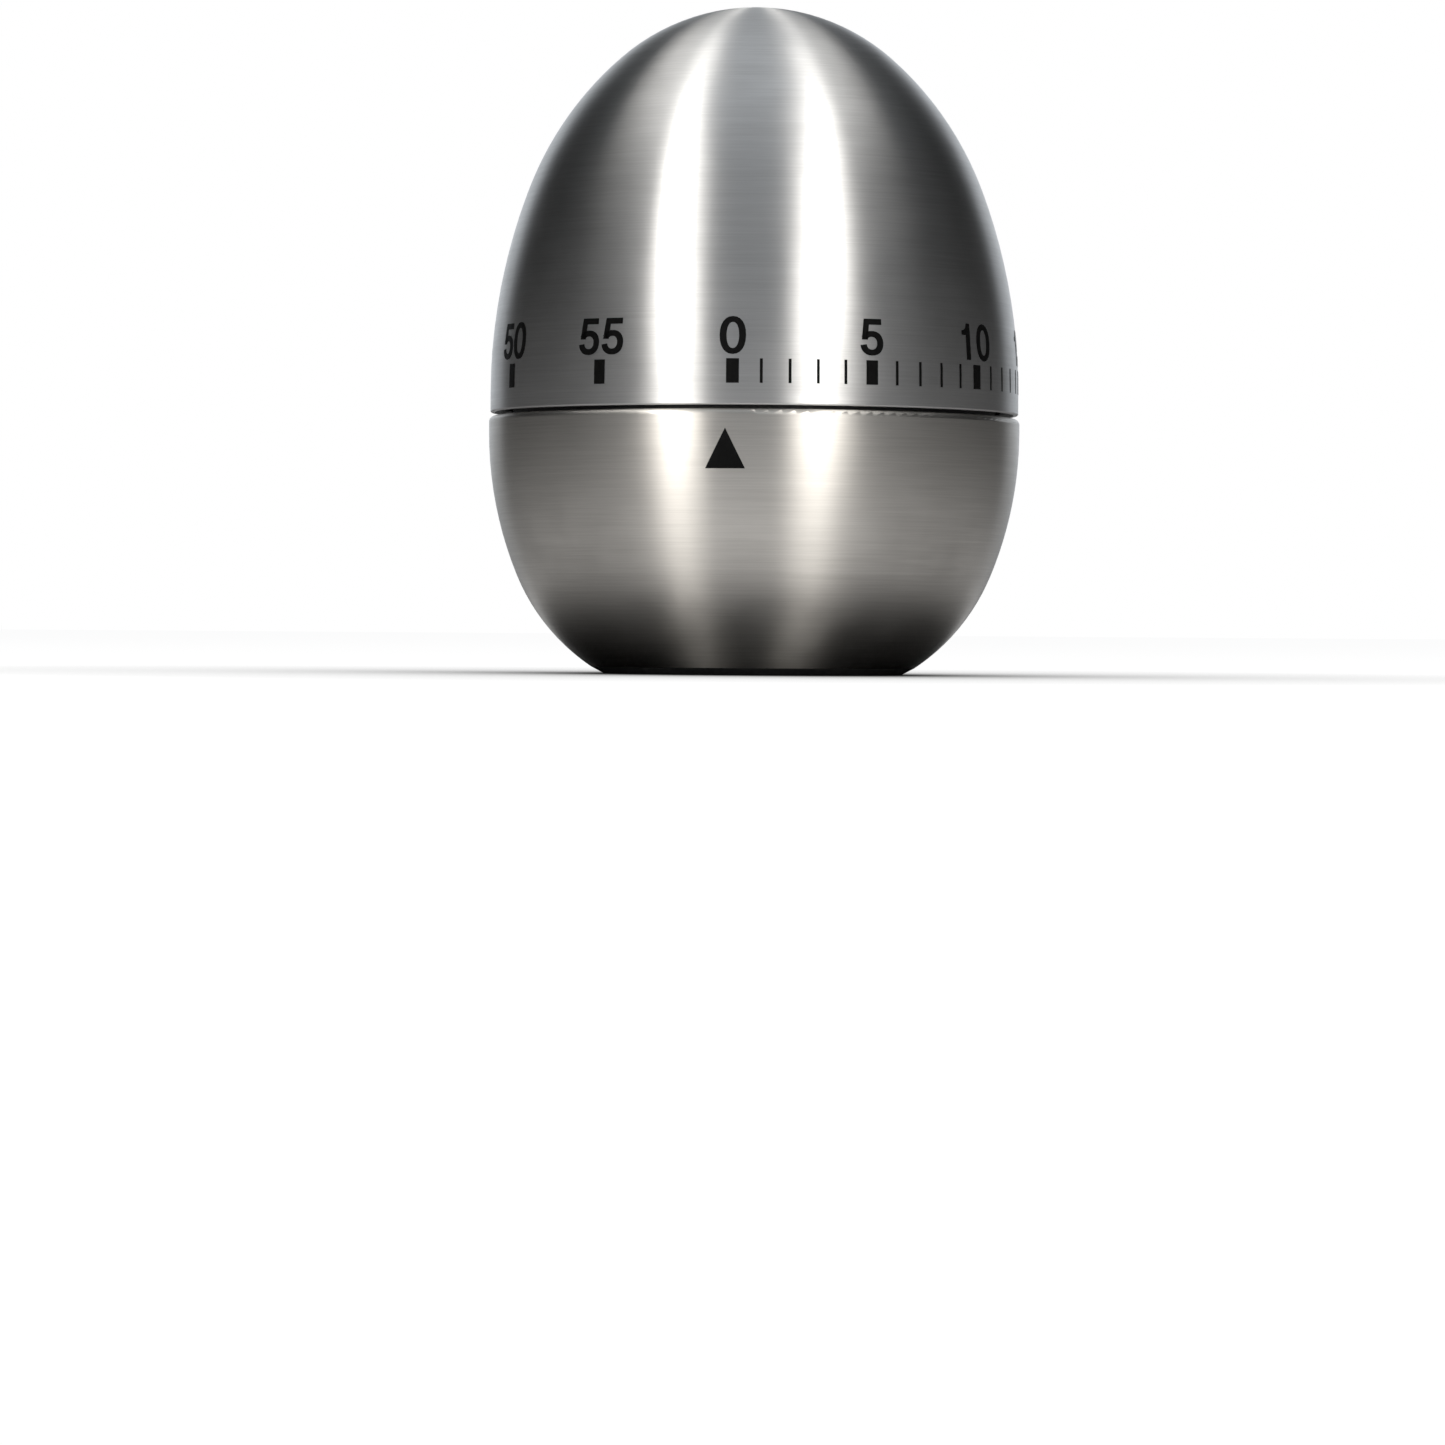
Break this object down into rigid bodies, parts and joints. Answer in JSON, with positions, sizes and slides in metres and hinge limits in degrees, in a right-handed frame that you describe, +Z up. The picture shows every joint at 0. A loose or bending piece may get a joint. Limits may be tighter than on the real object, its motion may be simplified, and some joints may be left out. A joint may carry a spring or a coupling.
{
  "type": "kitchen timer",
  "caption": "Egg-shaped clockwork kitchen timer: the steel cap turns as the dial over a steel cup and winds a geared movement that rings a bell at zero.",
  "frame": {"origin": "centre of the base on the table", "axes": "+Z up along the turning axis of the dial; the front, with the zero mark and triangle, faces -Y"},
  "size_m": [0.06, 0.06, 0.0753],
  "materials": {
    "brushed_steel": "brushed round the axis",
    "black_plastic": "moulded black",
    "plate_steel": "zinc plated sheet",
    "brass": "stamped or turned",
    "spring_steel": "blued spring strip",
    "turned_steel": "turned",
    "bell_steel": "plated"
  },
  "bodies": {
    "case": {"lower_shell": "brushed_steel", "case_liner": "black_plastic", "base_plate": "black_plastic", "dust_cover": "black_plastic", "lower_plate": "plate_steel", "upper_plate": "plate_steel", "plate_pillars": "brass", "pillar_screws": "turned_steel", "movement_screws": "turned_steel", "mainspring": "spring_steel", "spring_post": "turned_steel", "hairspring": "spring_steel", "hairspring_stud": "brass", "bell": "bell_steel", "bell_post": "brass", "bell_screw": "turned_steel"},
    "dial": {"upper_shell": "brushed_steel", "dial_carrier": "black_plastic", "main_arbor": "turned_steel", "main_wheel": "brass", "clutch_spring": "spring_steel", "arbor_clip": "spring_steel", "strike_cam": "turned_steel"},
    "second": {"second_wheel": "brass", "second_arbor": "turned_steel"},
    "third": {"third_wheel": "brass", "third_arbor": "turned_steel"},
    "escape": {"escape_wheel": "brass", "escape_arbor": "turned_steel"},
    "pallet": {"pallet_lever": "brass", "pallet_pins": "turned_steel", "pallet_arbor": "turned_steel"},
    "balance": {"balance_wheel": "brass", "balance_staff": "turned_steel", "impulse_pin": "turned_steel"},
    "strike": {"star_wheel": "turned_steel", "strike_arbor": "turned_steel"},
    "hammer": {"hammer_lever": "turned_steel", "hammer_arbor": "turned_steel", "hammer_arm": "turned_steel", "hammer_head": "brass"}
  },
  "joints": [
    {"name": "dial_turn", "type": "hinge", "parent": "case", "child": "dial", "pos_m": [0, 0, 0.0295], "axis": [0, 0, -1], "range_deg": [0, 348], "deforming": ["mainspring"]},
    {"name": "second_turn", "type": "hinge", "parent": "case", "child": "second", "pos_m": [0.01256, 0, 0.0185], "axis": [0, 0, -1], "continuous": true},
    {"name": "third_turn", "type": "hinge", "parent": "case", "child": "third", "pos_m": [0.0103, 0.00759, 0.0185], "axis": [0, 0, -1], "continuous": true},
    {"name": "escape_turn", "type": "hinge", "parent": "case", "child": "escape", "pos_m": [0.0051, 0.01217, 0.0185], "axis": [0, 0, -1], "continuous": true},
    {"name": "strike_turn", "type": "hinge", "parent": "case", "child": "strike", "pos_m": [0.00429, -0.0118, 0.0185], "axis": [0, 0, -1], "continuous": true},
    {"name": "balance_swing", "type": "hinge", "parent": "case", "child": "balance", "pos_m": [-0.0083, 0.01027, 0.0185], "axis": [0, 0, 1], "range_deg": [-25, 25], "stiffness_Nm_per_rad": 0.0000025, "deforming": ["hairspring"]},
    {"name": "pallet_rock", "type": "hinge", "parent": "case", "child": "pallet", "pos_m": [-0.00084, 0.01317, 0.0185], "axis": [0, 0, 1], "range_deg": [-8.5, 8.5]},
    {"name": "hammer_swing", "type": "hinge", "parent": "case", "child": "hammer", "pos_m": [-0.00451, -0.0124, 0.0185], "axis": [0, 0, 1], "range_deg": [-5, 0]}
  ],
  "couplings": [
    {"joint": "second_turn", "follows": "dial_turn", "ratio": -8},
    {"joint": "third_turn", "follows": "dial_turn", "ratio": 64},
    {"joint": "escape_turn", "follows": "dial_turn", "ratio": -384},
    {"joint": "strike_turn", "follows": "dial_turn", "ratio": -8},
    {"joint": "pallet_rock", "follows": "balance_swing", "ratio": -0.33333}
  ]
}
